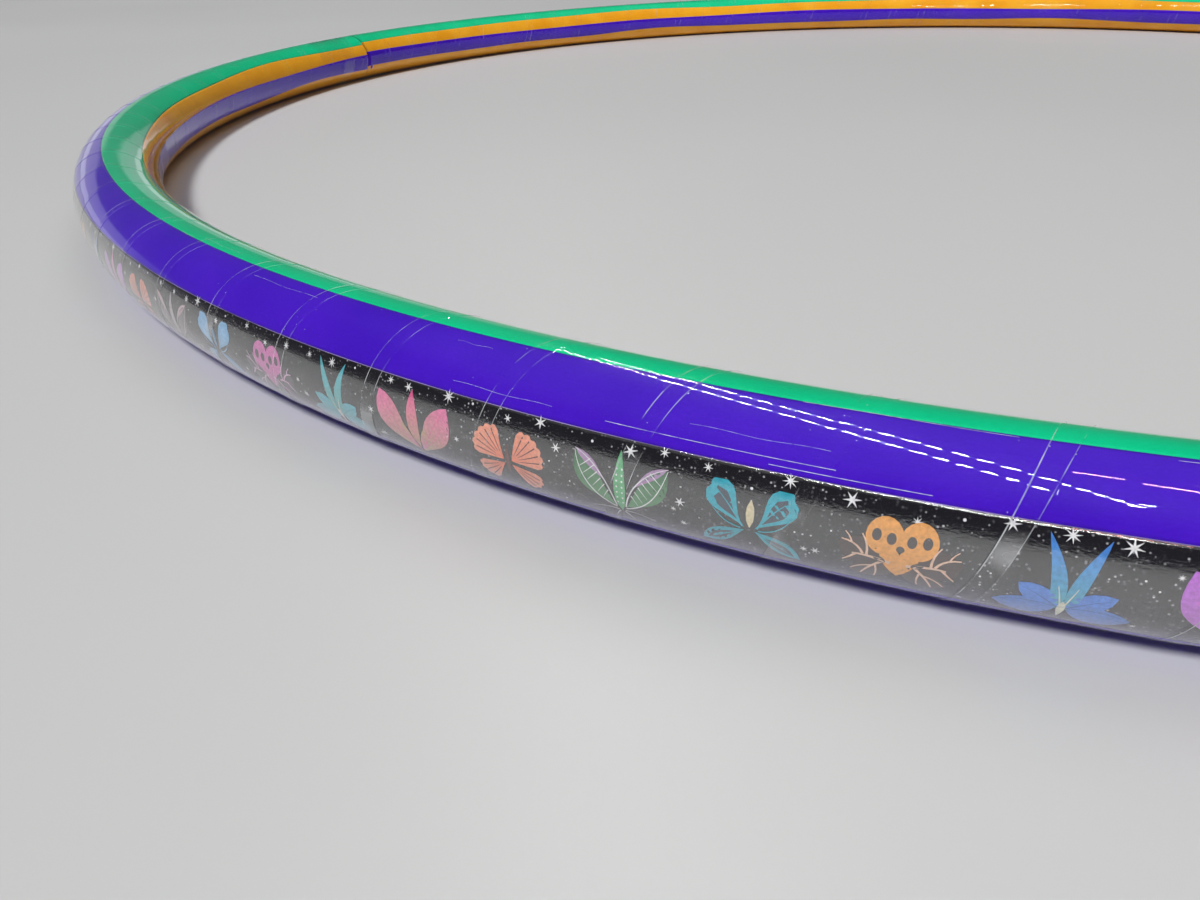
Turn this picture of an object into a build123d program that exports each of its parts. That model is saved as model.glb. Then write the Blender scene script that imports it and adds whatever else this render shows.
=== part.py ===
from build123d import *
from math import cos, degrees, pi, radians, sin
import os

# Rhythmic gymnastics hoop, lying flat. The origin is the ring's centre on the surface it lies on,
# +Z is the ring's axis, and the butt joint of the tube is at -X. All sizes are in millimetres.
#
# Angles around the ring count from +X. Angles around the tube's section (the "clock" angles) count
# from the outermost point, through the top at 90, the innermost point at 180 and the bottom at 270.

# ---- ring and tube ----
RING_R = 290.0            # radius of the tube's centre line
TUBE_R = 9.5              # outside radius of the plastic tube
TUBE_WALL = 1.8
JOINT_AT = 180.0          # where the two tube ends meet
JOINT_GAP = 0.3           # hairline between the tube ends, and between the ends of every layer

# ---- what is stuck on the tube, from the inside out ----
GLUE = 0.02               # clearance that the adhesive fills
TAPE_T = 0.16             # decorative tape
STRIPE_T = 0.12           # narrow stripe laid on top of the orange tape
FILM_T = 0.08             # clear protective film

# ---- where the tapes lie around the section: start and end clock angles ----
PRINTED = (-41.0, 31.0)
PURPLE_OUTER = (31.0, 82.0)
GREEN = (82.0, 137.0)
ORANGE = (137.0, 258.0)
PURPLE_LOWER = (258.0, 319.0)
PURPLE_INNER = (171.0, 206.0)
EDGE_GAP = 0.6            # clock degrees left between neighbouring tapes, about 0.1 mm

# ---- the plug inside the joint ----
PLUG_L = 84.0             # along the ring's centre line
PILOT_L = 7.0             # plain nose at each end, ahead of the ribs
PLUG_FIT = 0.08           # play between the ribs and the tube's bore
RIB_H = 1.5
RIB_W = 2.2
RIBS = 8
RIB_ROOT_OVERLAP = 0.5    # how far the core reaches up into the ribs' roots
CORE_BORE_R = 2.6

# ---- blind rivets through the inner side of the tube into the plug ----
RIVET_PITCH = 44.0        # one rivet each side of the joint
RIVET_R = 1.6
RIVET_HEAD_R = 2.4
RIVET_HEAD_TOP = 0.5      # the head's flat top, below the tube's surface so that its rim is flush
RIVET_HEAD_END = 1.5      # where the countersink meets the shank
RIVET_REACH = 6.2         # how far the shank goes in from the tube's surface
RIVET_MANDREL_R = 0.7     # hole left by the broken-off mandrel
RIVET_MANDREL_DEPTH = 4.0
RIVET_FIT = 0.03          # clearance of the rivets in their holes
RIVET_CUT_OUT = 1.0       # how far the hole's cutter starts outside the tube

FLATS = 16                # every ring layer has the same flats, so thin layers nest without crossing

tube_bore_r = TUBE_R - TUBE_WALL
tape_in_r = TUBE_R + GLUE
tape_out_r = tape_in_r + TAPE_T
stripe_in_r = tape_out_r + GLUE
stripe_out_r = stripe_in_r + STRIPE_T
film_in_r = stripe_out_r + GLUE
film_out_r = film_in_r + FILM_T
centre_z = film_out_r     # the film is what touches the floor


def arc_degrees(length):
    """Turn around the ring that covers a length of its centre line."""
    return degrees(length / RING_R)


def on_section(r, clock):
    """Point of the section's regular polygon at a clock angle; r is its radius at the corners."""
    step = 360 / FLATS
    off_middle = clock % step - step / 2
    reach = r * cos(radians(step / 2)) / cos(radians(off_middle))
    return (reach * cos(radians(clock)), reach * sin(radians(clock)))


def clock_stops(start, end):
    """The clock angles from start to end, with each polygon corner in between."""
    step = 360 / FLATS
    corners = [i * step for i in range(-2 * FLATS, 2 * FLATS)]
    return [start, *[a for a in corners if start + 0.01 < a < end - 0.01], end]


def around_ring(section):
    """Carry a flat section, drawn about the tube's centre, round the ring and leave the joint open."""
    gap = arc_degrees(JOINT_GAP)
    placed = Plane.XZ * Pos(RING_R, centre_z, 0) * section
    ring = revolve(placed, Axis.Z, 360 - gap)
    return Rot(0, 0, JOINT_AT + gap / 2) * ring


def sector(section, length):
    """Carry a flat section along the ring for a length, half each side of the joint."""
    turn = arc_degrees(length)
    placed = Plane.XZ * Pos(RING_R, centre_z, 0) * section
    return Rot(0, 0, JOINT_AT - turn / 2) * revolve(placed, Axis.Z, turn)


def full_layer(r_in, r_out):
    """Section of a layer that goes all the way round the tube."""
    return RegularPolygon(r_out, FLATS) - RegularPolygon(r_in, FLATS)


def tape_layer(r_in, r_out, span):
    """Section of a lengthwise tape between two clock angles."""
    stops = clock_stops(span[0] + EDGE_GAP / 2, span[1] - EDGE_GAP / 2)
    outside = [on_section(r_out, a) for a in stops]
    inside = [on_section(r_in, a) for a in reversed(stops)]
    return make_face(Polyline(*outside, *inside, close=True))


def at_rivet(side):
    """Frame of a rivet: origin on the tube's surface at the ring's inner side, +Z pointing into the tube."""
    turn = JOINT_AT + side * arc_degrees(RIVET_PITCH / 2)
    inner_r = RING_R - TUBE_R
    spot = (inner_r * cos(radians(turn)), inner_r * sin(radians(turn)), centre_z)
    outward = (cos(radians(turn)), sin(radians(turn)), 0)
    return Plane(origin=spot, z_dir=outward)


def rivet_shape(plane, grow):
    """Countersunk head and shank of a rivet, or with grow its hole."""
    head_l = RIVET_HEAD_END - RIVET_HEAD_TOP
    shank_l = RIVET_REACH - RIVET_HEAD_TOP + grow
    head = plane.offset(RIVET_HEAD_TOP + head_l / 2).location * Cone(RIVET_HEAD_R + grow, RIVET_R + grow, head_l)
    shank = plane.offset(RIVET_HEAD_TOP + shank_l / 2).location * Cylinder(RIVET_R + grow, shank_l)
    return head + shank


def rivet_hole(plane):
    """Hole for a rivet, open to the tube's surface above the sunk head."""
    mouth_l = RIVET_CUT_OUT + RIVET_HEAD_TOP
    mouth = plane.offset(RIVET_HEAD_TOP - mouth_l / 2).location * Cylinder(RIVET_HEAD_R + RIVET_FIT, mouth_l)
    return rivet_shape(plane, RIVET_FIT) + mouth


def rivet(plane):
    """Flush blind rivet, hollow where its mandrel broke off."""
    depth = RIVET_MANDREL_DEPTH
    mandrel = plane.offset(RIVET_HEAD_TOP + depth / 2).location * Cylinder(RIVET_MANDREL_R, depth)
    return rivet_shape(plane, 0) - mandrel


def hoop_tube(rivet_planes):
    tube = around_ring(full_layer(tube_bore_r, TUBE_R))
    for plane in rivet_planes:
        tube -= rivet_hole(plane)
    return tube


def joint_plug(rivet_planes):
    """Moulded plug that joins the tube ends: a curved hollow core with lengthwise ribs and plain noses."""
    bore_flat = tube_bore_r * cos(pi / FLATS) - PLUG_FIT
    crest = (bore_flat ** 2 - (RIB_W / 2) ** 2) ** 0.5
    root = crest - RIB_H
    core = sector(RegularPolygon(root + RIB_ROOT_OVERLAP, RIBS) - RegularPolygon(CORE_BORE_R, RIBS), PLUG_L)
    bars = [Rot(0, 0, 360 * (i + 0.5) / RIBS) * Pos(crest - RIB_H, 0) * Rectangle(2 * RIB_H, RIB_W)
            for i in range(RIBS)]
    plug = core + [sector(bar, PLUG_L - 2 * PILOT_L) for bar in bars]
    for plane in rivet_planes:
        plug -= rivet_hole(plane)
    return plug


os.makedirs("parts", exist_ok=True)
rivet_planes = [at_rivet(side) for side in (-1, 1)]
nodes = {
    "hoop_tube": hoop_tube(rivet_planes),
    "joint_plug": joint_plug(rivet_planes),
    "joint_rivets": Compound([rivet(plane) for plane in rivet_planes]),
    "printed_tape": around_ring(tape_layer(tape_in_r, tape_out_r, PRINTED)),
    "purple_outer_tape": around_ring(tape_layer(tape_in_r, tape_out_r, PURPLE_OUTER)),
    "green_tape": around_ring(tape_layer(tape_in_r, tape_out_r, GREEN)),
    "orange_inner_tape": around_ring(tape_layer(tape_in_r, tape_out_r, ORANGE)),
    "purple_lower_tape": around_ring(tape_layer(tape_in_r, tape_out_r, PURPLE_LOWER)),
    "purple_inner_stripe": around_ring(tape_layer(stripe_in_r, stripe_out_r, PURPLE_INNER)),
    "clear_wrap": around_ring(full_layer(film_in_r, film_out_r)),
}
for name, shape in nodes.items():
    export_step(shape, f"parts/{name}.step")
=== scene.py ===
import random
from math import cos, pi, radians, sin

import bpy
import numpy as np
from mathutils import Matrix, Vector


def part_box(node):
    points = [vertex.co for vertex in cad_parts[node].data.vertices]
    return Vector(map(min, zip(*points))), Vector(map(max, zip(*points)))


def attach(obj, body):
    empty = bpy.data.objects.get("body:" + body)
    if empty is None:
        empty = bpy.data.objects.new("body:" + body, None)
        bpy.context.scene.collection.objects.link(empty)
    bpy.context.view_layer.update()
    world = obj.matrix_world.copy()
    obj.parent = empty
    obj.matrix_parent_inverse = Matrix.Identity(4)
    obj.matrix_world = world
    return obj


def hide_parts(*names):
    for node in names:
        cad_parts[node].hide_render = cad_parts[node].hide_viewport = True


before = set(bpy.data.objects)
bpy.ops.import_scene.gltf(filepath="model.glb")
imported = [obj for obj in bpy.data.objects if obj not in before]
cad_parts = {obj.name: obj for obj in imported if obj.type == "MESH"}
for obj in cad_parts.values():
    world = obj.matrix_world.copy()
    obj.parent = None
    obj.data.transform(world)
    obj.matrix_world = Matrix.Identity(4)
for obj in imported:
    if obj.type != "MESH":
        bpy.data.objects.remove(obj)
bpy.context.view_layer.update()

# ---------------------------------------------------------------------------
# Sizes, in metres and radians. "Clock" angles go round the tube's section:
# 0 outermost, 90 top, 180 innermost, 270 bottom. Ring angles count from +X,
# and the tapes' ends meet at the joint, at 180 degrees.
# ---------------------------------------------------------------------------
MM = 0.001
film_low, film_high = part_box("clear_wrap")
tube_low, tube_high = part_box("hoop_tube")
FILM_OUT_R = (film_high[2] - film_low[2]) / 2
TUBE_R = (tube_high[2] - tube_low[2]) / 2
CENTRE_Z = (film_high[2] + film_low[2]) / 2
RING_R = (film_high[1] - film_low[1]) / 2 - FILM_OUT_R
JOINT = radians(180)

TAPE_IN_R = TUBE_R + 0.02 * MM
TAPE_OUT_R = TUBE_R + 0.14 * MM
STRIPE_OUT_R = TUBE_R + 0.22 * MM
INK_R = TAPE_OUT_R + 0.015 * MM
FILM_R = FILM_OUT_R - 0.13 * MM     # outside of the film where it lies single
FILM_T = 0.05 * MM

FILM_PITCH = radians(3.58)          # ring angle that one turn of the film covers
FILM_WIDTH = 20.8 * MM              # the film's width, measured along the ring
TURN_STEPS = 48
FILM_EDGE_HIGHLIGHT = 0.11 * MM               # width of the pale painted highlight along the film's free edge


def on_hoop(ring, clock, r):
    """Points at a ring angle and a clock angle, r from the tube's centre line."""
    reach = RING_R + r * np.cos(clock)
    return np.stack([reach * np.cos(ring), reach * np.sin(ring), CENTRE_Z + r * np.sin(clock)], -1)


# ---------------------------------------------------------------------------
# Mesh helpers
# ---------------------------------------------------------------------------
class Builder:
    """Gathers grids of points into one mesh, with a material and a colour for each grid."""

    def __init__(self):
        self.points, self.quads, self.slots, self.colours = [], [], [], []
        self.count = 0

    def grid(self, points, slot=0, wrap=False, colours=None, flip=False):
        rows, cols = points.shape[:2]
        index = np.arange(rows * cols).reshape(rows, cols) + self.count
        after = np.roll(index, -1, 1) if wrap else index[:, 1:]
        before = index if wrap else index[:, :-1]
        quads = np.stack([before[:-1], before[1:], after[1:], after[:-1]], -1).reshape(-1, 4)
        if flip:
            quads = quads[:, ::-1]
        self.points.append(points.reshape(-1, 3))
        self.quads.append(quads)
        self.slots.append(np.full(len(quads), slot))
        if colours is None:
            colours = np.ones((rows, cols, 3))
        self.colours.append(np.broadcast_to(colours, (rows, cols, 3)).reshape(-1, 3))
        self.count += rows * cols

    def cap(self, loop_start, length, flip):
        """Close one end of a wrapped grid whose section is a thin band: its outside, then its inside."""
        half = length // 2
        index = np.arange(length) + loop_start
        near, far = index[:half], index[::-1][:half]
        quads = np.stack([near[:-1], near[1:], far[1:], far[:-1]], -1)
        if flip:
            quads = quads[:, ::-1]
        self.quads.append(quads)
        self.slots.append(np.zeros(len(quads), int))

    def build(self, name, materials):
        points = np.concatenate(self.points)
        quads = np.concatenate(self.quads)
        mesh = bpy.data.meshes.new(name)
        mesh.vertices.add(len(points))
        mesh.vertices.foreach_set("co", points.astype(np.float32).ravel())
        mesh.loops.add(quads.size)
        mesh.loops.foreach_set("vertex_index", quads.astype(np.int32).ravel())
        mesh.polygons.add(len(quads))
        mesh.polygons.foreach_set("loop_start", np.arange(0, quads.size, 4, dtype=np.int32))
        mesh.polygons.foreach_set("material_index", np.concatenate(self.slots).astype(np.int32))
        mesh.polygons.foreach_set("use_smooth", np.full(len(quads), True))
        tint = mesh.color_attributes.new("ink", "FLOAT_COLOR", "POINT")
        rgba = np.concatenate([np.concatenate(self.colours), np.ones((len(points), 1))], 1)
        tint.data.foreach_set("color", rgba.astype(np.float32).ravel())
        mesh.update(calc_edges=True)
        mesh.validate()
        for material in materials:
            mesh.materials.append(material)
        piece = bpy.data.objects.new(name, mesh)
        bpy.context.scene.collection.objects.link(piece)
        return piece


def strip(builder, ring, clock_a, clock_b, r_in, r_out, across, lift):
    """A closed thin band along the ring between two clock angles; these and its lift may change along it."""
    t = np.linspace(0, 1, across)
    outer_t = np.concatenate([[0], t, [1]])
    outer_r = np.full(across + 2, r_out)
    edge = 0.5 * (r_out - r_in)
    outer_r[[0, -1]] -= edge
    inner_t = t[::-1]
    loop_t = np.concatenate([outer_t, inner_t])
    loop_r = np.concatenate([outer_r, np.full(across, r_in)])
    clock = clock_a[:, None] + (clock_b - clock_a)[:, None] * loop_t[None]
    r = loop_r + lift[:, None]
    start = builder.count
    builder.grid(on_hoop(ring[:, None], clock, r), wrap=True)
    size = len(loop_t)
    builder.cap(start, size, True)
    builder.cap(start + (len(ring) - 1) * size, size, False)


# ---------------------------------------------------------------------------
# Materials
# ---------------------------------------------------------------------------
def new_material(name):
    material = bpy.data.materials.new(name)
    material.use_nodes = True
    return material, material.node_tree, material.node_tree.nodes["Principled BSDF"]


def add(tree, kind, **sockets):
    node = tree.nodes.new(kind)
    for key, value in sockets.items():
        node.inputs[key.replace("_", " ")].default_value = value
    return node


def pattern(tree, kind, **sockets):
    """A texture node laid out in the hoop's own coordinates, in metres."""
    coords = tree.nodes.new("ShaderNodeTexCoord")
    texture = add(tree, kind, **sockets)
    tree.links.new(coords.outputs["Object"], texture.inputs["Vector"])
    return texture


def noise(tree, scale, detail):
    return pattern(tree, "ShaderNodeTexNoise", Scale=scale, Detail=detail)


def ramp(tree, source, stops):
    node = tree.nodes.new("ShaderNodeValToRGB")
    elements = node.color_ramp.elements
    while len(elements) < len(stops):
        elements.new(0.5)
    for element, (at, colour) in zip(elements, stops):
        element.position = at
        element.color = (*colour, 1)
    tree.links.new(source, node.inputs["Fac"])
    return node


def bump(tree, shader, source, distance, strength):
    node = add(tree, "ShaderNodeBump", Strength=strength, Distance=distance)
    tree.links.new(source, node.inputs["Height"])
    tree.links.new(node.outputs["Normal"], shader.inputs["Normal"])


def calc(tree, operation, *values):
    """A Math node; each value is a number or the output that feeds it."""
    node = tree.nodes.new("ShaderNodeMath")
    node.operation = operation
    for socket, value in zip(node.inputs, values):
        if isinstance(value, (int, float)):
            socket.default_value = value
        else:
            tree.links.new(value, socket)
    return node.outputs["Value"]


def multiplied(tree, a, b):
    """The product of two colours."""
    node = tree.nodes.new("ShaderNodeMix")
    node.data_type, node.blend_type = "RGBA", "MULTIPLY"
    node.inputs["Factor"].default_value = 1.0
    tree.links.new(a, node.inputs[6])
    tree.links.new(b, node.inputs[7])
    return node.outputs[2]


def scaled(tree, colour, level):
    """A colour made lighter or darker by a number."""
    node = tree.nodes.new("ShaderNodeVectorMath")
    node.operation = "SCALE"
    tree.links.new(colour, node.inputs[0])
    tree.links.new(level, node.inputs["Scale"])
    return node.outputs["Vector"]


def hoop_coords(tree):
    """Distance along the ring, distance around the section, and the clock angle in turns (-0.5 to 0.5)."""
    coords = tree.nodes.new("ShaderNodeTexCoord")
    split = tree.nodes.new("ShaderNodeSeparateXYZ")
    tree.links.new(coords.outputs["Object"], split.inputs["Vector"])
    x, y, z = (split.outputs[k] for k in "XYZ")
    squares = calc(tree, "ADD", calc(tree, "MULTIPLY", x, x), calc(tree, "MULTIPLY", y, y))
    reach = calc(tree, "SQRT", squares)
    clock = calc(tree, "ARCTAN2", calc(tree, "SUBTRACT", z, CENTRE_Z), calc(tree, "SUBTRACT", reach, RING_R))
    along = calc(tree, "MULTIPLY", calc(tree, "ARCTAN2", y, x), RING_R)
    around = calc(tree, "MULTIPLY", clock, TUBE_R)
    return along, around, calc(tree, "DIVIDE", clock, 2 * pi)


def stretched_noise(tree, along_scale, around_scale, detail=3.0):
    """Noise with its own scale along the ring and around the section."""
    along, around, _ = hoop_coords(tree)
    vector = tree.nodes.new("ShaderNodeCombineXYZ")
    tree.links.new(calc(tree, "MULTIPLY", along, along_scale), vector.inputs["X"])
    tree.links.new(calc(tree, "MULTIPLY", around, around_scale), vector.inputs["Y"])
    texture = add(tree, "ShaderNodeTexNoise", Scale=1.0, Detail=detail)
    tree.links.new(vector.outputs["Vector"], texture.inputs["Vector"])
    return texture.outputs["Fac"]


def tape_material(name, deep, light):
    """Smooth coloured tape under the film: slow colour variation and a faint grain."""
    material, tree, shader = new_material(name)
    broad = noise(tree, 60, 4)
    colour = ramp(tree, broad.outputs["Fac"], [(0.35, deep), (0.65, light)])
    grain = stretched_noise(tree, 1500, 3200)
    level = calc(tree, "ADD", calc(tree, "MULTIPLY", grain, 0.22), 0.89)
    tree.links.new(scaled(tree, colour.outputs["Color"], level), shader.inputs["Base Color"])
    rough = calc(tree, "ADD", calc(tree, "MULTIPLY", grain, 0.12), 0.24)
    tree.links.new(rough, shader.inputs["Roughness"])
    shader.inputs["Specular IOR Level"].default_value = 0.03
    bump(tree, shader, grain, 0.00001, 0.4)
    return material


def printed_material():
    """Black printed ground on bright foil: it mirrors darkly, with a fine sparkle."""
    material, tree, shader = new_material("printed_ground")
    specks = pattern(tree, "ShaderNodeTexVoronoi", Scale=2400)
    clusters = stretched_noise(tree, 260, 900)
    mask = ramp(tree, clusters, [(0.36, (0.35, 0.35, 0.35)), (0.62, (1, 1, 1))])
    round_speck = ramp(tree, specks.outputs["Distance"], [(0.16, (1, 1, 1)), (0.40, (0, 0, 0))])
    chosen = tree.nodes.new("ShaderNodeSeparateColor")
    tree.links.new(specks.outputs["Color"], chosen.inputs["Color"])
    some = ramp(tree, chosen.outputs["Red"], [(0.45, (0, 0, 0)), (1.0, (1, 1, 1))])
    spark = multiplied(tree, round_speck.outputs["Color"], some.outputs["Color"])
    glint = multiplied(tree, mask.outputs["Color"], spark)
    ground = ramp(tree, glint, [(0.0, (0.23, 0.23, 0.235)), (1.0, (0.80, 0.80, 0.82))])
    tree.links.new(ground.outputs["Color"], shader.inputs["Base Color"])
    metal = calc(tree, "SUBTRACT", 1.0, calc(tree, "MULTIPLY", glint, 0.7))
    tree.links.new(metal, shader.inputs["Metallic"])
    shader.inputs["Roughness"].default_value = 0.13
    grain = stretched_noise(tree, 1500, 3600, 4)
    bump(tree, shader, grain, 0.00004, 0.7)
    return material


def ink_material():
    """Printed colours, read from the mesh, with the slight mottling of ink."""
    material, tree, shader = new_material("printed_ink")
    tint = tree.nodes.new("ShaderNodeVertexColor")
    tint.layer_name = "ink"
    grain = noise(tree, 2600, 4)
    level = add(tree, "ShaderNodeMapRange", To_Min=0.55, To_Max=1.35)
    tree.links.new(grain.outputs["Fac"], level.inputs["Value"])
    mottled = scaled(tree, tint.outputs["Color"], level.outputs["Result"])
    tree.links.new(mottled, shader.inputs["Base Color"])
    shader.inputs["Roughness"].default_value = 0.3
    shader.inputs["Coat Weight"].default_value = 1.0
    shader.inputs["Coat Roughness"].default_value = 0.12
    shader.inputs["Coat IOR"].default_value = 2.3
    return material


def film_material():
    """Clear glossy film: mirrors more at a glancing angle and lets the rest through."""
    material, tree, shader = new_material("clear_film")
    shader.inputs["Base Color"].default_value = (1, 1, 1, 1)
    shader.inputs["Metallic"].default_value = 1.0
    fresnel = add(tree, "ShaderNodeFresnel", IOR=1.5)
    scuffs = stretched_noise(tree, 180, 700, 7)
    haze = ramp(tree, scuffs, [(0.69, (0, 0, 0)), (0.80, (0.16, 0.16, 0.16))])
    # Light that has passed into the film leaves it freely, so only its outside mirrors.
    geometry = tree.nodes.new("ShaderNodeNewGeometry")
    outside = calc(tree, "SUBTRACT", 1.0, geometry.outputs["Backfacing"])
    gloss = calc(tree, "MULTIPLY", fresnel.outputs["Fac"], outside)
    total = calc(tree, "MAXIMUM", gloss, haze.outputs["Color"])
    tree.links.new(total, shader.inputs["Alpha"])
    rough = calc(tree, "ADD", calc(tree, "MULTIPLY", haze.outputs["Color"], 2.0), 0.012)
    tree.links.new(rough, shader.inputs["Roughness"])
    # Small wrinkles where the film crosses the tapes' edge near the top, and hardly any elsewhere.
    _, _, turns = hoop_coords(tree)
    wrinkled = ramp(tree, calc(tree, "MULTIPLY", turns, 2.0),
                    [(0.425, (0, 0, 0)), (0.445, (1, 1, 1)), (0.463, (1, 1, 1)), (0.475, (0, 0, 0))])
    fine = stretched_noise(tree, 1700, 900, 2)
    slow = stretched_noise(tree, 110, 160, 1)
    height = calc(tree, "ADD", calc(tree, "MULTIPLY", slow, 0.30),
                  calc(tree, "MULTIPLY", calc(tree, "MULTIPLY", fine, wrinkled.outputs["Color"]), 0.65))
    bump(tree, shader, height, 0.00004, 0.5)
    return material


def film_inner_material():
    """The film's inner side and covered edge: nearly nothing to see, as light leaves it freely."""
    material, tree, shader = new_material("clear_film_inside")
    grain = noise(tree, 800, 2)
    level = add(tree, "ShaderNodeMapRange", To_Min=0.0, To_Max=0.004)
    tree.links.new(grain.outputs["Fac"], level.inputs["Value"])
    tree.links.new(level.outputs["Result"], shader.inputs["Alpha"])
    shader.inputs["Roughness"].default_value = 0.2
    return material


def lap_painted_reflection_material():
    """Painted reflection on the film's laps: whitish patches in some laps, only low on the outer side, where
    the film mirrors the bright floor.
    """
    material, tree, shader = new_material("clear_film_lap_painted_reflection")
    shader.inputs["Base Color"].default_value = (0.85, 0.86, 0.88, 1)
    shader.inputs["Roughness"].default_value = 0.4
    shader.inputs["Specular IOR Level"].default_value = 0.1
    blotches = stretched_noise(tree, 38, 55, 3)
    patches = ramp(tree, blotches, [(0.50, (0, 0, 0)), (0.58, (0.30, 0.30, 0.30))])
    _, _, turns = hoop_coords(tree)
    side = calc(tree, "ADD", turns, 0.5)
    # The patches show only from about -50 to 25 degrees of clock, where the film mirrors the floor: a painted
    # reflection.
    floor_mirror_zone = ramp(tree, side, [(0.36, (0, 0, 0)), (0.39, (1, 1, 1)), (0.53, (1, 1, 1)), (0.57, (0, 0, 0))])
    level = calc(tree, "MULTIPLY", patches.outputs["Color"], floor_mirror_zone.outputs["Color"])
    tree.links.new(level, shader.inputs["Alpha"])
    return material


def pale_line_material(name, colour, low, high, most, along=70, around=160):
    """A pale line that comes and goes: used for painted highlights and painted reflections along edges, and
    for scratches and specks in the film.
    """
    material, tree, shader = new_material(name)
    shader.inputs["Base Color"].default_value = (*colour, 1)
    shader.inputs["Roughness"].default_value = 0.35
    shader.inputs["Specular IOR Level"].default_value = 0.3
    slow = stretched_noise(tree, along, around, 5)
    level = add(tree, "ShaderNodeMapRange", From_Min=low, From_Max=high, To_Min=0.0, To_Max=most)
    tree.links.new(slow, level.inputs["Value"])
    tree.links.new(level.outputs["Result"], shader.inputs["Alpha"])
    return material


def tube_material():
    """Extruded polyethylene: a slightly translucent grey-white plastic with faint draw lines."""
    material, tree, shader = new_material("tube_plastic")
    lines = stretched_noise(tree, 20, 1800, 3)
    colour = ramp(tree, lines, [(0.35, (0.52, 0.53, 0.54)), (0.65, (0.60, 0.61, 0.62))])
    tree.links.new(colour.outputs["Color"], shader.inputs["Base Color"])
    shader.inputs["Roughness"].default_value = 0.42
    bump(tree, shader, lines, 0.00002, 0.4)
    return material


def plug_material():
    """Moulded nylon: off-white, with a fine matt grain."""
    material, tree, shader = new_material("plug_plastic")
    grain = noise(tree, 1400, 4)
    colour = ramp(tree, grain.outputs["Fac"], [(0.3, (0.70, 0.68, 0.62)), (0.7, (0.78, 0.76, 0.70))])
    tree.links.new(colour.outputs["Color"], shader.inputs["Base Color"])
    shader.inputs["Roughness"].default_value = 0.5
    bump(tree, shader, grain.outputs["Fac"], 0.00002, 0.4)
    return material


def rivet_material():
    """Drawn aluminium with a slightly uneven sheen."""
    material, tree, shader = new_material("rivet_aluminium")
    grain = noise(tree, 2600, 3)
    colour = ramp(tree, grain.outputs["Fac"], [(0.3, (0.72, 0.73, 0.75)), (0.7, (0.82, 0.83, 0.84))])
    tree.links.new(colour.outputs["Color"], shader.inputs["Base Color"])
    shader.inputs["Metallic"].default_value = 1.0
    shader.inputs["Roughness"].default_value = 0.34
    bump(tree, shader, grain.outputs["Fac"], 0.00001, 0.4)
    return material


def dress(node, material):
    """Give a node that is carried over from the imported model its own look."""
    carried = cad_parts[node]
    if not carried.material_slots:
        carried.data.materials.append(material)
    for place in carried.material_slots:
        place.material = material


green = tape_material("green_tape", (0.0, 0.58, 0.25), (0.0, 0.63, 0.28))
purple = tape_material("purple_tape", (0.052, 0.0065, 0.49), (0.065, 0.009, 0.55))
orange = tape_material("orange_tape", (0.88, 0.36, 0.010), (0.95, 0.44, 0.02))
printed = printed_material()
ink = ink_material()
film_clear = film_material()
film_inside = film_inner_material()
lap_painted_reflection = lap_painted_reflection_material()
# Painted highlight: pale lines along the film's edges, standing in for the edges catching the light.
painted_edge_highlight = pale_line_material("film_edge_painted_highlight", (0.9, 0.92, 0.95), 0.44, 0.72, 0.8)
# Partly painted reflection: the wider lavender line along the printed tape's lower edge stands in for the
# floor mirrored in the film.
tape_edge_line_and_reflection = pale_line_material("tape_edge_line_and_floor_reflection", (0.60, 0.46, 0.95), 0.25, 0.65, 0.7)
mark = pale_line_material("film_marks", (0.85, 0.86, 0.92), 0.2, 0.7, 0.8, along=900, around=900)

dress("hoop_tube", tube_material())
dress("joint_plug", plug_material())
dress("joint_rivets", rivet_material())

# ---------------------------------------------------------------------------
# Lengthwise tapes
# ---------------------------------------------------------------------------
LAP = radians(0.8)        # how far a tape's end runs over its start
RING_STEPS = 900
ring_stops = np.linspace(JOINT, JOINT + 2 * pi + LAP, RING_STEPS)


def wander(ring, size, waves, phase):
    """Slow sideways drift of a hand-laid tape's edge, in radians of clock angle."""
    drift = sum(np.sin(k * ring + phase * k) / (1 + 0.4 * i) for i, k in enumerate(waves))
    return radians(size) * drift


def end_drift(ring, size):
    """The tapes start a little low on the inner side and end a little high."""
    turn = ring - JOINT
    start = np.clip(1 - turn / radians(70), 0, 1) ** 2
    end = np.clip(1 - (2 * pi - turn) / radians(30), 0, 1) ** 2
    return radians(size) * (start - end)


def edge_at(degrees, size, waves, phase, drift):
    """The clock angle of a tape's edge at every ring stop."""
    return radians(degrees) + wander(ring_stops, size, waves, phase) + end_drift(ring_stops, drift)


printed_low = edge_at(-41, 0.5, (3, 8), 0.4, 1.5)
printed_high = edge_at(31, 0.4, (2, 5, 11), 1.1, 1.5)
green_low = edge_at(82, 0.5, (3, 7, 12), 2.3, 2.5)
green_high = edge_at(136.5, 2.2, (7, 13, 19), 0.8, 3.5)
stripe_low = edge_at(170, 1.4, (6, 11, 17), 1.9, 3.5)
stripe_high = edge_at(207, 2.6, (8, 14, 21), 2.9, 5.0)
lower_low = edge_at(258, 1.5, (5, 9), 0.2, 2.0)

GAP = radians(0.25)         # clock angle left between neighbouring tapes
RISE = radians(0.1)         # ring angle over which a tape's end climbs onto its start
END_LIFT = 0.1 * MM
end_lift = np.clip((ring_stops - JOINT - 2 * pi) / RISE, 0, 1) * END_LIFT


def lengthwise(name, low, high, material, across, r_in=TAPE_IN_R, r_out=TAPE_OUT_R):
    builder = Builder()
    strip(builder, ring_stops, low, high, r_in, r_out, across, end_lift)
    return builder.build(name, [material])


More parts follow.
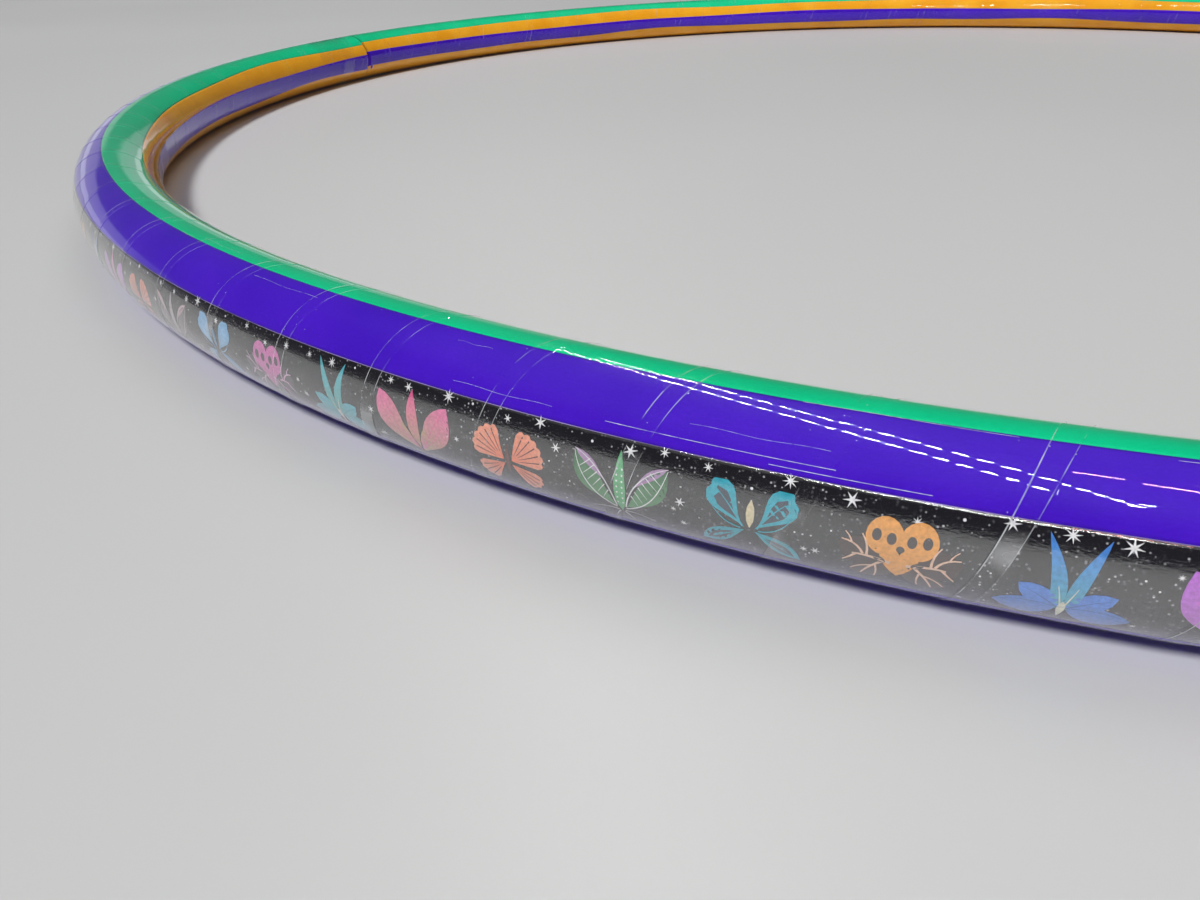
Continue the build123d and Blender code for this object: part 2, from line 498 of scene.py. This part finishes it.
purple_start, purple_end = printed_high + GAP, green_low - GAP
lower_start, lower_end = lower_low + GAP, printed_low + 2 * pi - GAP
tapes = {
    "printed_tape": lengthwise("printed_tape_skin", printed_low, printed_high, printed, 30),
    "purple_outer_tape": lengthwise("purple_outer_tape_skin", purple_start, purple_end, purple, 22),
    "green_tape": lengthwise("green_tape_skin", green_low, green_high, green, 22),
    "orange_inner_tape": lengthwise("orange_inner_tape_skin", green_high + GAP, lower_low, orange, 44),
    "purple_lower_tape": lengthwise("purple_lower_tape_skin", lower_start, lower_end, purple, 26),
    "purple_inner_stripe": lengthwise("purple_inner_stripe_skin", stripe_low, stripe_high, purple, 16,
                                      TAPE_OUT_R, STRIPE_OUT_R),
}
for node, piece in tapes.items():
    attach(piece, "root")
    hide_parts(node)

# ---------------------------------------------------------------------------
# Print on the black tape: winged insects in a repeating row, stars and dots.
# A figure is drawn flat, in millimetres, x along the ring and y towards the top.
# ---------------------------------------------------------------------------
PRINT_PITCH = radians(2.805)      # ring angle from one insect to the next
PRINT_FIRST = radians(272.8)      # an insect's place that the row is counted from
PRINT_CLOCK = radians(-5.5)       # the row's middle
PRINT_CELLS = 128
FIGURE_SIZE = 0.93
INK_STEP = 0.007 * MM             # each colour is printed over the one before
GRAIN = 0.8                       # longest straight run of a printed edge, in millimetres


class Print:
    """One flat figure, printed at a place on the tape."""

    def __init__(self, builder, ring, clock, size=1.0):
        self.builder, self.ring, self.clock, self.size = builder, ring, clock, size

    def lay(self, x, y, layer, colours, wrap=False):
        r = INK_R + layer * INK_STEP
        reach = RING_R + r * cos(self.clock)
        ring = self.ring + x * self.size * MM / reach
        clock = self.clock + y * self.size * MM / r
        turns = (np.diff(x[:, :-1], axis=0) * np.diff(y[:-1], axis=1)
                 - np.diff(y[:, :-1], axis=0) * np.diff(x[:-1], axis=1))
        self.builder.grid(on_hoop(ring, clock, r), 0, wrap, colours, flip=bool(np.sum(turns) < 0))

    def petal(self, root, tip, width, colour, end=None, bend=0.0, widest=0.55, blunt=0.8, layer=0):
        """A leaf-shaped patch from root to tip; bend bows it sideways, and end is its colour at the tip."""
        root, tip = np.array(root, float), np.array(tip, float)
        axis = tip - root
        length = np.hypot(*axis)
        across = np.array([axis[1], -axis[0]]) / length
        rows = max(4, int(length / GRAIN) + 1)
        cols = max(2, int(width / GRAIN) + 1)
        t = np.linspace(0, 1, rows)[:, None]
        s = np.linspace(-1, 1, cols)[None]
        along = np.clip(t, 0.002, 0.998) ** (np.log(0.5) / np.log(widest))
        half = width / 2 * np.sin(pi * along) ** blunt
        offset = s * half + bend * np.sin(pi * t)
        x = root[0] + axis[0] * t + across[0] * offset
        y = root[1] + axis[1] * t + across[1] * offset
        end = colour if end is None else end
        shades = np.array(colour) * (1 - t[..., None]) + np.array(end) * t[..., None]
        self.lay(x, y, layer, np.broadcast_to(shades, (*x.shape, 3)))

    def stroke(self, points, width, colour, layer=1, taper=0.3):
        """A line through three points, thinner at its end."""
        a, b, c = (np.array(p, float) for p in points)
        rows = max(3, int((np.hypot(*(b - a)) + np.hypot(*(c - b))) / GRAIN) + 2)
        t = np.linspace(0, 1, rows)[:, None]
        line = (1 - t) ** 2 * a + 2 * t * (1 - t) * b + t ** 2 * c
        way = np.gradient(line, axis=0)
        way /= np.hypot(way[:, 0], way[:, 1])[:, None] + 1e-9
        half = width / 2 * (1 - (1 - taper) * t)
        side = np.stack([way[:, 1], -way[:, 0]], 1) * half
        x = np.stack([line[:, 0] - side[:, 0], line[:, 0] + side[:, 0]], 1)
        y = np.stack([line[:, 1] - side[:, 1], line[:, 1] + side[:, 1]], 1)
        self.lay(x, y, layer, np.array(colour))

    def oval(self, middle, rx, ry, colour, layer=1, tilt=0.0, points=14):
        """A filled ellipse."""
        around = np.linspace(0, 2 * pi, points, endpoint=False)[None]
        rings = max(2, int(max(rx, ry) / GRAIN) + 2)
        out = np.linspace(0.02, 1, rings)[:, None]
        u, v = out * rx * np.cos(around), out * ry * np.sin(around)
        x = middle[0] + u * cos(tilt) - v * sin(tilt)
        y = middle[1] + u * sin(tilt) + v * cos(tilt)
        self.lay(x, y, layer, np.array(colour), wrap=True)

    def star(self, x0, y0, size, rays, spin):
        """A small white star: long and short radii in turn."""
        around = np.arange(2 * rays) * pi / rays + spin
        reach = np.where(np.arange(2 * rays) % 2, 0.27, 1.0) * size
        out = np.array([0.02, 0.5, 1.0])[:, None]
        x, y = x0 + out * reach * np.cos(around), y0 + out * reach * np.sin(around)
        self.lay(x, y, 0, np.array((0.9, 0.9, 0.92)), wrap=True)

    def fan(self, root, start, end, reach, folds, colour, tip):
        """A fan-shaped wing with a scalloped rim, between two angles in degrees.
        Returns the angles of its rays, three to a fold, and how far each one reaches."""
        rows, cols = max(4, int(reach / GRAIN) + 1), 3 * folds + 1
        t = np.linspace(0.03, 1, rows)[:, None]
        s = np.linspace(0, 1, cols)[None]
        angle = np.radians(start + (end - start) * s)
        scallops = 1 - 0.07 * np.cos(pi * folds * s) ** 2
        rim = reach * (0.80 + 0.20 * np.sin(pi * s) ** 0.5) * scallops
        x, y = root[0] + t * rim * np.cos(angle), root[1] + t * rim * np.sin(angle)
        shades = np.array(colour) * (1 - t[..., None]) + np.array(tip) * t[..., None]
        self.lay(x, y, 0, np.broadcast_to(shades, (*x.shape, 3)))
        return angle[0], rim[0]


def hawk(p, line, fill, crest, body):
    """Slanting veined wings, a spindle body and thin feelers."""
    for m in (-1, 1):
        p.petal((0.7 * m, -2.6), (5.9 * m, 3.9), 3.1, fill, np.array(fill) * 0.5, bend=0.5 * m, widest=0.6)
        p.petal((1.9 * m, 0.9), (5.9 * m, 4.2), 1.1, crest, bend=-0.25 * m, widest=0.6, layer=1)
        p.stroke(((0.6 * m, -2.6), (1.6 * m, 2.6), (6.0 * m, 4.2)), 0.20, line, 2)
        p.stroke(((0.6 * m, -2.9), (4.6 * m, -1.4), (6.0 * m, 4.0)), 0.22, line, 2)
        for k in range(6):
            u = 0.22 + 0.13 * k
            p.stroke((((0.7 + 3.6 * u) * m, -1.6 + 5.6 * u), ((1.0 + 4.2 * u) * m, -2.2 + 5.4 * u),
                      ((1.2 + 4.9 * u) * m, -3.0 + 5.6 * u)), 0.13, line, 2)
        p.stroke(((0.4 * m, -3.4), (2.4 * m, -3.2), (4.2 * m, -4.1)), 0.15, line, 1)
        p.stroke(((0.3 * m, -3.6), (0.9 * m, -4.4), (1.2 * m, -5.2)), 0.18, line, 1)
    p.petal((0, -3.4), (0, 5.2), 1.5, body, widest=0.42, layer=2)
    for k in range(7):
        for m in (-1, 1):
            p.oval((0.34 * m, -1.9 + 0.8 * k), 0.12, 0.16, line, 3, points=6)


def round_wings(p, wing, inner, body):
    """Two round upper wings, two long lower ones and an oval body."""
    for m in (-1, 1):
        p.petal((0.6 * m, -0.7), (4.4 * m, 4.6), 3.6, wing, bend=0.3 * m, widest=0.72, blunt=0.7)
        p.petal((1.1 * m, 0.0), (3.9 * m, 3.8), 1.9, inner, bend=0.3 * m, widest=0.7, layer=1)
        p.petal((0.6 * m, -1.1), (5.6 * m, -4.6), 2.4, wing, bend=-0.2 * m, widest=0.6)
        p.petal((1.4 * m, -1.7), (5.0 * m, -4.2), 1.2, inner, bend=-0.2 * m, widest=0.6, layer=1)
        p.stroke(((0.8 * m, -0.6), (2.2 * m, 1.9), (3.7 * m, 3.2)), 0.22, wing, 2)
        p.stroke(((1.0 * m, -1.4), (3.0 * m, -2.6), (4.7 * m, -4.0)), 0.18, wing, 2)
        p.stroke(((1.0 * m, -0.9), (3.4 * m, -0.7), (4.7 * m, 2.0)), 0.20, wing, 2)
    p.petal((0, -0.6), (0, 3.0), 0.95, body, widest=0.5, blunt=0.5, layer=2)


BRANCHES = (            # each branch's three points and thickness, on the right wing
    ((0.8, -1.2), (3.0, -0.6), (4.7, -0.8), 0.42),
    ((3.6, -0.6), (4.2, 0.8), (5.9, 0.9), 0.30),
    ((4.3, -0.8), (5.0, -1.6), (5.6, -2.1), 0.30),
    ((3.2, -0.7), (3.1, 0.9), (3.9, 2.0), 0.28),
    ((1.6, -1.2), (3.0, -2.4), (3.6, -4.1), 0.34),
    ((2.6, -2.2), (3.9, -2.4), (4.7, -3.5), 0.24),
    ((2.2, -2.0), (1.9, -3.2), (2.2, -4.2), 0.24),
    ((4.8, 0.6), (5.0, 1.4), (5.6, 1.9), 0.20),
)


def lace(p, top, net, dark, spot):
    """Round spotted upper wings and dark side wings with a branching pattern."""
    for m in (-1, 1):
        p.petal((0.4 * m, -1.8), (6.2 * m, 0.4), 4.2, dark, bend=-0.2 * m, widest=0.55, blunt=0.6)
        p.petal((0.3 * m, -2.6), (5.0 * m, -3.6), 2.6, dark, widest=0.55, blunt=0.6)
        p.oval((1.7 * m, 2.1), 1.9, 2.3, top, 1, points=20)
        p.petal((0, -3.2), (1.5 * m, 1.6), 2.0, top, widest=0.6, blunt=0.6, layer=1)
        p.oval((1.0 * m, 2.0), 0.48, 0.72, spot, 2)
        p.oval((2.5 * m, 2.2), 0.48, 0.74, spot, 2)
        p.oval((1.9 * m, -0.9), 0.7, 0.38, spot, 2, tilt=0.5 * m)
        for *path, thick in BRANCHES:
            p.stroke([(x * m, y) for x, y in path], thick, net, 2, 0.5)
    p.oval((0, 0.9), 0.42, 0.42, spot, 2)


def luna(p, wing, tail, body):
    """Broad low wings and two long raised tails."""
    for m in (-1, 1):
        p.petal((0.5 * m, -3.2), (2.7 * m, 5.8), 1.5, tail, wing, bend=-0.5 * m, widest=0.35)
        p.petal((0.2 * m, -2.6), (6.3 * m, -3.6), 3.4, wing, np.array(wing) * 0.8,
                bend=0.7 * m, widest=0.5, blunt=0.7)
        p.petal((0.3 * m, -2.9), (4.4 * m, -0.2), 2.6, wing, widest=0.5, blunt=0.7)
        p.stroke(((0.4 * m, -3.0), (3.0 * m, -2.3), (5.4 * m, -3.1)), 0.10, np.array(wing) * 0.45, 1)
        p.stroke(((0.4 * m, -3.0), (2.4 * m, -1.2), (4.0 * m, -0.7)), 0.10, np.array(wing) * 0.45, 1)
        p.stroke(((0.2 * m, -2.6), (0.5 * m, -1.2), (0.9 * m, 0.2)), 0.18, body, 1)
    p.petal((0, -5.0), (0, -1.8), 0.8, body, widest=0.6, layer=2)


def leaf(p, outer, inner, body):
    """Three leaf shapes: two wings and a long body."""
    for m in (-1, 1):
        p.petal((0.3 * m, -4.4), (6.0 * m, 4.2), 4.2, inner, outer, bend=0.5 * m, widest=0.62)
        p.stroke(((0.4 * m, -4.0), (2.6 * m, -0.6), (5.4 * m, 3.4)), 0.14, body, 1)
        p.stroke(((0.6 * m, -3.6), (3.4 * m, -1.6), (5.2 * m, 1.2)), 0.10, body, 1)
        p.petal((0.2 * m, -4.4), (2.0 * m, 0.4), 1.2, outer, inner, bend=0.2 * m, layer=1)
    p.petal((0, -3.6), (0, 5.4), 2.0, inner, body, widest=0.5, layer=2)
    p.stroke(((0, -3.2), (0.1, 0.0), (0, 3.6)), 0.10, outer, 3)


def fan_wings(p, wing, tip, vein):
    """Four fan-shaped wings with scalloped rims and dark ribs."""
    for m in (-1, 1):
        for low, high, reach, folds, root in UPPER_FAN, LOWER_FAN:
            start, end = (low, high) if m > 0 else (180 - low, 180 - high)
            angles, rim = p.fan((root[0] * m, root[1]), start, end, reach, folds, wing, tip)
            for k in range(1, folds):
                a, far = angles[3 * k], rim[3 * k] * 0.93
                x, y = root[0] * m + far * cos(a), root[1] + far * sin(a)
                inner = (root[0] * m + 0.3 * far * cos(a), root[1] + 0.3 * far * sin(a))
                p.stroke(((x, y), ((x + root[0] * m) / 2 + 0.1, (y + root[1]) / 2), inner), 0.17, vein, 1)
    p.petal((0, -2.6), (0, 2.2), 0.7, vein, widest=0.5, layer=1)


UPPER_FAN = (-2, 78, 5.3, 6, (0.55, -0.3))     # from and to in degrees, reach, folds, root
LOWER_FAN = (-62, -8, 4.9, 4, (0.5, -0.8))

WHITE, CREAM = (0.80, 0.80, 0.82), (0.72, 0.62, 0.40)
RIB = (0.10, 0.015, 0.01)
FIGURES = (             # each figure with its colours, for one row of six and for the next
    (hawk, (WHITE, (0.10, 0.32, 0.14), (0.42, 0.26, 0.46), (0.12, 0.45, 0.20)),
     ((0.62, 0.55, 0.60), (0.16, 0.13, 0.15), (0.50, 0.32, 0.36), (0.40, 0.34, 0.38))),
    (round_wings, ((0.02, 0.40, 0.52), (0.05, 0.07, 0.10), CREAM),
     ((0.16, 0.42, 0.72), (0.22, 0.48, 0.78), (0.10, 0.25, 0.45))),
    (lace, ((0.84, 0.36, 0.07), (0.80, 0.52, 0.38), (0.06, 0.035, 0.035), (0.05, 0.035, 0.04)),
     ((0.62, 0.14, 0.42), (0.70, 0.42, 0.62), (0.05, 0.03, 0.05), (0.05, 0.02, 0.05))),
    (luna, ((0.07, 0.24, 0.76), (0.06, 0.42, 0.50), (0.75, 0.75, 0.60)),
     ((0.09, 0.48, 0.58), (0.10, 0.38, 0.36), (0.70, 0.72, 0.66))),
    (leaf, ((0.52, 0.12, 0.70), (0.46, 0.20, 0.52), (0.80, 0.16, 0.50)),
     ((0.80, 0.15, 0.38), (0.52, 0.36, 0.18), (0.86, 0.10, 0.34))),
    (fan_wings, ((0.80, 0.17, 0.10), (0.86, 0.26, 0.16), RIB), ((0.84, 0.20, 0.10), (0.86, 0.32, 0.20), RIB)),
)


def print_stars(stars, dice, figure):
    """Stars and dots: three places above a figure, and four between it and the next one."""
    for place in range(3):
        x = (place - 1) * 4.6 + dice.uniform(-1.2, 1.2)
        y = 5.35 + dice.uniform(-0.5, 0.35)
        if place == 1 and figure in (round_wings, lace):
            y -= 1.0
        if dice.random() < 0.72:
            stars.star(x, y, dice.uniform(0.5, 1.0), dice.choice((6, 7, 8)), dice.uniform(0, 1))
        else:
            stars.oval((x, y), 0.16, 0.16, (0.85, 0.85, 0.88), 0, points=8)
    for _ in range(4):
        x = 7.2 + dice.uniform(-1.6, 1.2)
        y = dice.uniform(-4.8, 3.6)
        if dice.random() < 0.4:
            stars.star(x, y, dice.uniform(0.35, 0.7), dice.choice((6, 7)), dice.uniform(0, 1))
        else:
            stars.oval((x, y), 0.11, 0.11, (0.8, 0.8, 0.82), 0, points=6)


def print_tape():
    builder = Builder()
    first = -int((PRINT_FIRST - JOINT) / PRINT_PITCH)
    dice = random.Random(7)
    for k in range(first, first + PRINT_CELLS):
        ring = PRINT_FIRST + k * PRINT_PITCH
        row, place = divmod(k + 2, len(FIGURES))
        figure, *inks = FIGURES[place]
        figure(Print(builder, ring, PRINT_CLOCK, FIGURE_SIZE), *inks[row % 2])
        print_stars(Print(builder, ring, PRINT_CLOCK), dice, figure)
    return builder.build("printed_tape_ink", [ink])


ink_piece = print_tape()
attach(ink_piece, "root")

# ---------------------------------------------------------------------------
# Clear film, wound spirally with a lap at every turn
# ---------------------------------------------------------------------------
def film_turns():
    turns = 2 * pi / FILM_PITCH + 1.2
    steps = int(turns * TURN_STEPS)
    turn = np.linspace(0, turns * 2 * pi, steps)
    clock = turn + radians(250)
    lead = JOINT + turn / (2 * pi) * FILM_PITCH
    width = FILM_WIDTH / (RING_R + FILM_R * np.cos(clock))
    return clock, lead, width


clock, lead, width = film_turns()
lap = (width - FILM_PITCH)[:, None]
SINK = radians(0.03)                # ring angle over which the film comes down off the turn before
INNER_SIDE = 0.8 * FILM_T           # how far the film's inner side is below its outer one

# Across one turn: the free part lies on the turn before, the rest on the tapes, and the covered
# part under the turn after. Extra columns beside each edge keep the bend in the shine there narrow.
free = np.array([0, 0.01, 0.04, 0.96, 1.0])[None] * lap
rest = lap + SINK + (FILM_PITCH - lap - SINK) * np.array([0, 0.008, 0.5, 1])[None]
seen = np.concatenate([free, rest], 1)
seen_lift = np.array([0.0, 1, 1, 1, 1, 0, 0, 0, 0]) * FILM_T + 0 * lead[:, None]
covered = FILM_PITCH + lap * np.array([0, 0.96, 1.0])[None]
covered_lift = np.array([0, 0, -0.5]) * FILM_T + 0 * lead[:, None]
around_clock = clock[:, None]
film_builder = Builder()
# Slot 2, the covered part of each lap, carries the painted reflection of the floor.
for angles, lift, slot in ((seen, seen_lift, 0), (covered, covered_lift, 2)):
    surface = on_hoop(lead[:, None] + angles, around_clock + 0 * angles, FILM_R + lift)
    film_builder.grid(surface, slot, flip=True)
both = np.concatenate([seen, covered[:, 1:]], 1)[:, ::-1]
both_lift = np.concatenate([seen_lift, covered_lift[:, 1:]], 1)[:, ::-1] - INNER_SIDE
both_lift[:, [0, -1]] += 0.3 * FILM_T
surface = on_hoop(lead[:, None] + both, around_clock + 0 * both, FILM_R + both_lift)
film_builder.grid(surface, 1, flip=True)
film = film_builder.build("clear_wrap_film", [film_clear, film_inside, lap_painted_reflection])

# Painted highlights: pale ribbons along the film's free edge and its covered edge, where the edges catch the
# light.
EDGE_R = FILM_R + 1.15 * FILM_T
edges = Builder()
for start, size in ((lead, FILM_EDGE_HIGHLIGHT), (lead + lap[:, 0], -0.7 * FILM_EDGE_HIGHLIGHT)):
    side = np.array([0, size / 2, size])
    ring_line = start[:, None] + side / RING_R
    edges.grid(on_hoop(ring_line, around_clock + 0 * side, EDGE_R + 0 * ring_line), flip=size > 0)
film_edge_highlight_piece = edges.build("clear_wrap_edge_highlights", [painted_edge_highlight])


def ribbon(builder, ring, clock_line, size, r):
    """A thin line on the surface, size wide, along given ring and clock angles."""
    side = np.array([-0.5, 0.5]) * size / r
    builder.grid(on_hoop(ring[:, None] + 0 * side, clock_line[:, None] + side, r + 0 * ring[:, None]))


MARK_LAYER = 25           # in steps of ink, enough to lie on top of the film
LONG_SCRATCHES = (        # ring angle, clock angle and length in millimetres
    (266.7, 38.5, 24), (270.2, 34.5, 15), (270.5, 79.5, 20), (277, 76.5, 14))


def film_marks():
    """Long scratches in the film, and small specks, most of them along the laps."""
    dice = random.Random(21)
    builder = Builder()
    r = FILM_R + 1.3 * FILM_T
    for _ in range(54):
        length = dice.uniform(2, 22) * MM / RING_R
        start = dice.uniform(0, 2 * pi)
        at = radians(dice.choice((39, 50, 62, 70, 78, 84, 88)) + dice.uniform(-5, 4))
        ring = np.linspace(start, start + length, 24)
        ribbon(builder, ring, at + radians(0.5) * np.sin(9 * (ring - start) / length) + 0 * ring,
               dice.uniform(0.025, 0.045) * MM, r)
    for ring_at, at, length in LONG_SCRATCHES:
        ring = radians(ring_at) + np.linspace(0, length * MM / RING_R, 40)
        ribbon(builder, ring, radians(at) + radians(0.7) * np.sin(60 * ring) * (at > 60), 0.07 * MM, r)
    for _ in range(1500):
        ring, at = dice.uniform(0, 2 * pi), radians(dice.uniform(-60, 300))
        turn = (at - clock[0]) / (2 * pi)
        if dice.random() < 0.7:
            k = round((ring - JOINT) / FILM_PITCH - turn)
            ring = JOINT + (k + turn) * FILM_PITCH + dice.gauss(0.6, 1.2) * MM / RING_R
        rx, ry = dice.uniform(0.03, 0.09), dice.uniform(0.03, 0.08)
        Print(builder, ring, at).oval((0, 0), rx, ry, (0.9, 0.9, 0.9), MARK_LAYER, points=6)
    return builder.build("clear_wrap_marks", [mark])


def make_tape_edge_and_reflection_lines():
    """Pale lavender lines along the printed tape's edges: a thin line at its upper edge, and along its lower
    edge a wider painted reflection of the bright floor in the film.
    """
    builder = Builder()
    ring = ring_stops[:-1]
    ribbon(builder, ring, printed_high[:-1], 0.08 * MM, TAPE_OUT_R + 0.01 * MM)
    # Along the lower edge: a painted reflection of the bright floor.
    ribbon(builder, ring, printed_low[:-1], 0.24 * MM, TAPE_OUT_R + 0.01 * MM)
    return builder.build("tape_edge_and_reflection_lines", [tape_edge_line_and_reflection])


marks = film_marks()
lines = make_tape_edge_and_reflection_lines()
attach(lines, "root")
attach(marks, "root")
for piece in (film, film_edge_highlight_piece):
    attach(piece, "root")
    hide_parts("clear_wrap")

# ---------------------------------------------------------------------------
# Floor, light, camera
# ---------------------------------------------------------------------------
VIEW_TURN = radians(2.8)      # the camera and lamps are placed about the ring with this turn
LAMP_Z = 0.4
DARK_SHARE = 0.46             # how much of each cell of a lamp row is dark


def make_floor():
    mesh = bpy.data.meshes.new("floor")
    size = 6.0
    corners = [(-size, -size, 0), (size, -size, 0), (size, size, 0), (-size, size, 0)]
    mesh.from_pydata(corners, [], [(0, 1, 2, 3)])
    material, tree, shader = new_material("floor")
    tone = noise(tree, 3, 2)
    colour = ramp(tree, tone.outputs["Fac"], [(0.3, (0.61, 0.61, 0.605)), (0.7, (0.64, 0.64, 0.635))])
    tree.links.new(colour.outputs["Color"], shader.inputs["Base Color"])
    shader.inputs["Roughness"].default_value = 0.45
    mesh.materials.append(material)
    floor = bpy.data.objects.new("floor", mesh)
    bpy.context.scene.collection.objects.link(floor)


def area_light(name, place, aim, size, power, glossy, colour=(1, 1, 1), size_y=None):
    """A lamp that either lights surfaces or, when glossy, is only seen mirrored in them."""
    data = bpy.data.lights.new(name, "AREA")
    data.shape = "RECTANGLE"
    data.size = size
    data.size_y = size_y or size
    data.energy = power
    data.color = colour
    light = bpy.data.objects.new(name, data)
    bpy.context.scene.collection.objects.link(light)
    light.location = place
    light.rotation_euler = (Vector(aim) - Vector(place)).to_track_quat("-Z", "Y").to_euler()
    light.visible_glossy = glossy
    light.visible_diffuse = not glossy
    light.visible_camera = False
    return light


def led_strip(name, start, end, width, power, cells):
    """A row of small lamps: an area light whose emission comes in dashes along its length."""
    start, end = np.array(start), np.array(end)
    middle = (start + end) / 2
    length = float(np.linalg.norm(end - start))
    below = (middle[0], middle[1], 0)
    light = area_light(name, tuple(middle), below, length, power, True, size_y=width)
    light.rotation_euler = (0, 0, float(np.arctan2(end[1] - start[1], end[0] - start[0])))
    light.data.use_nodes = True
    tree = light.data.node_tree
    emission = tree.nodes["Emission"]
    geometry = tree.nodes.new("ShaderNodeNewGeometry")
    split = tree.nodes.new("ShaderNodeSeparateXYZ")
    tree.links.new(geometry.outputs["Parametric"], split.inputs["Vector"])
    part = calc(tree, "FRACT", calc(tree, "MULTIPLY", split.outputs["X"], cells))
    tree.links.new(calc(tree, "GREATER_THAN", part, DARK_SHARE), emission.inputs["Strength"])
    return light


def make_world():
    """Pale surroundings. Reflections see a dim room, bright only low down behind the hoop."""
    world = bpy.data.worlds.new("studio")
    world.use_nodes = True
    tree = world.node_tree
    background = tree.nodes["Background"]
    coords = tree.nodes.new("ShaderNodeTexCoord")
    split = tree.nodes.new("ShaderNodeSeparateXYZ")
    tree.links.new(coords.outputs["Generated"], split.inputs["Vector"])
    facing = tree.nodes.new("ShaderNodeVectorMath")
    facing.operation = "DOT_PRODUCT"
    facing.inputs[1].default_value = (-0.86, 0.51, 0.0)
    tree.links.new(coords.outputs["Generated"], facing.inputs[0])
    side = ramp(tree, facing.outputs["Value"], [(0.78, (0.04, 0.04, 0.04)), (0.93, (1, 1, 1))])
    horizon = [(0.055, (0.66, 0.67, 0.70)), (0.07, (0.34, 0.34, 0.36)),
               (0.15, (0.30, 0.30, 0.32)), (0.17, (0.02, 0.02, 0.024))]
    low = ramp(tree, split.outputs["Z"], horizon)
    tone = multiplied(tree, side.outputs["Color"], low.outputs["Color"])
    paths = tree.nodes.new("ShaderNodeLightPath")
    mix = tree.nodes.new("ShaderNodeMix")
    mix.data_type = "RGBA"
    tree.links.new(paths.outputs["Is Glossy Ray"], mix.inputs["Factor"])
    mix.inputs[6].default_value = (0.11, 0.111, 0.114, 1)
    room = [(0.62, (0.05, 0.048, 0.062)), (0.85, (0.21, 0.21, 0.22))]
    ceiling = ramp(tree, split.outputs["Z"], room)
    glow = tree.nodes.new("ShaderNodeVectorMath")
    tree.links.new(tone, glow.inputs[0])
    tree.links.new(ceiling.outputs["Color"], glow.inputs[1])
    tree.links.new(glow.outputs["Vector"], mix.inputs[7])
    tree.links.new(mix.outputs[2], background.inputs["Color"])
    background.inputs["Strength"].default_value = 1.0
    bpy.context.scene.world = world


def make_camera():
    """Close to the near rim and low, looking across the ring's left part."""
    yaw, pitch, roll = radians(23.33) + VIEW_TURN, radians(-31.02), radians(-1.81)
    focal = 869.3 / 1200      # the lens's focal length over the picture's width
    turn = Matrix.Rotation(yaw, 4, "Z") @ Matrix.Rotation(pi / 2, 4, "X")
    turn = turn @ Matrix.Rotation(pitch, 4, "X") @ Matrix.Rotation(roll, 4, "Z")
    away = 1.2793 * RING_R
    place = (away * sin(VIEW_TURN), -away * cos(VIEW_TURN), 0.2116 * RING_R)
    data = bpy.data.cameras.new("camera")
    data.lens = data.sensor_width * focal
    data.clip_start = 0.005
    camera = bpy.data.objects.new("camera", data)
    bpy.context.scene.collection.objects.link(camera)
    camera.matrix_world = Matrix.Translation(place) @ turn
    bpy.context.scene.camera = camera


make_floor()
make_world()
make_camera()
area_light("soft_top", (-0.6, 1.3, 2.6), (-0.1, 0.3, 0), 2.0, 15, False)
area_light("soft_front", (0.9, -5.0, 6.4), (0, 0, 0), 1.5, 590, False)
view_turn = Matrix.Rotation(VIEW_TURN, 3, "Z")
for k, offset in enumerate((0.0, 0.05)):
    start = view_turn @ Vector((-0.34 + offset, 0.25, LAMP_Z))
    end = view_turn @ Vector((0.10 + offset, -0.50, LAMP_Z))
    led_strip(f"led_strip_{k + 1}", start, end, width=0.0045, power=1.3, cells=32)
lamps = (     # name, place in x and y, size, power, colour
    ("lamp_warm_1", (0.100, -0.285), (0.026, 0.006), 0.035, (1.0, 0.42, 0.40)),
    ("lamp_warm_2", (0.140, -0.300), (0.034, 0.006), 0.045, (1.0, 0.42, 0.40)),
    ("lamp_spot_1", (0.150, -0.500), (0.012, 0.006), 0.03, (1, 1, 1)),
    ("lamp_spot_2", (0.150, -0.475), (0.010, 0.004), 0.02, (1, 1, 1)),
)
for name, (x, y), (long, wide), power, colour in lamps:
    place = view_turn @ Vector((x, y, LAMP_Z))
    area_light(name, tuple(place), (place.x, place.y, 0), long, power, True, colour, wide)
bpy.context.scene.cycles.transparent_max_bounces = 32
bpy.context.scene.view_settings.view_transform = "Standard"
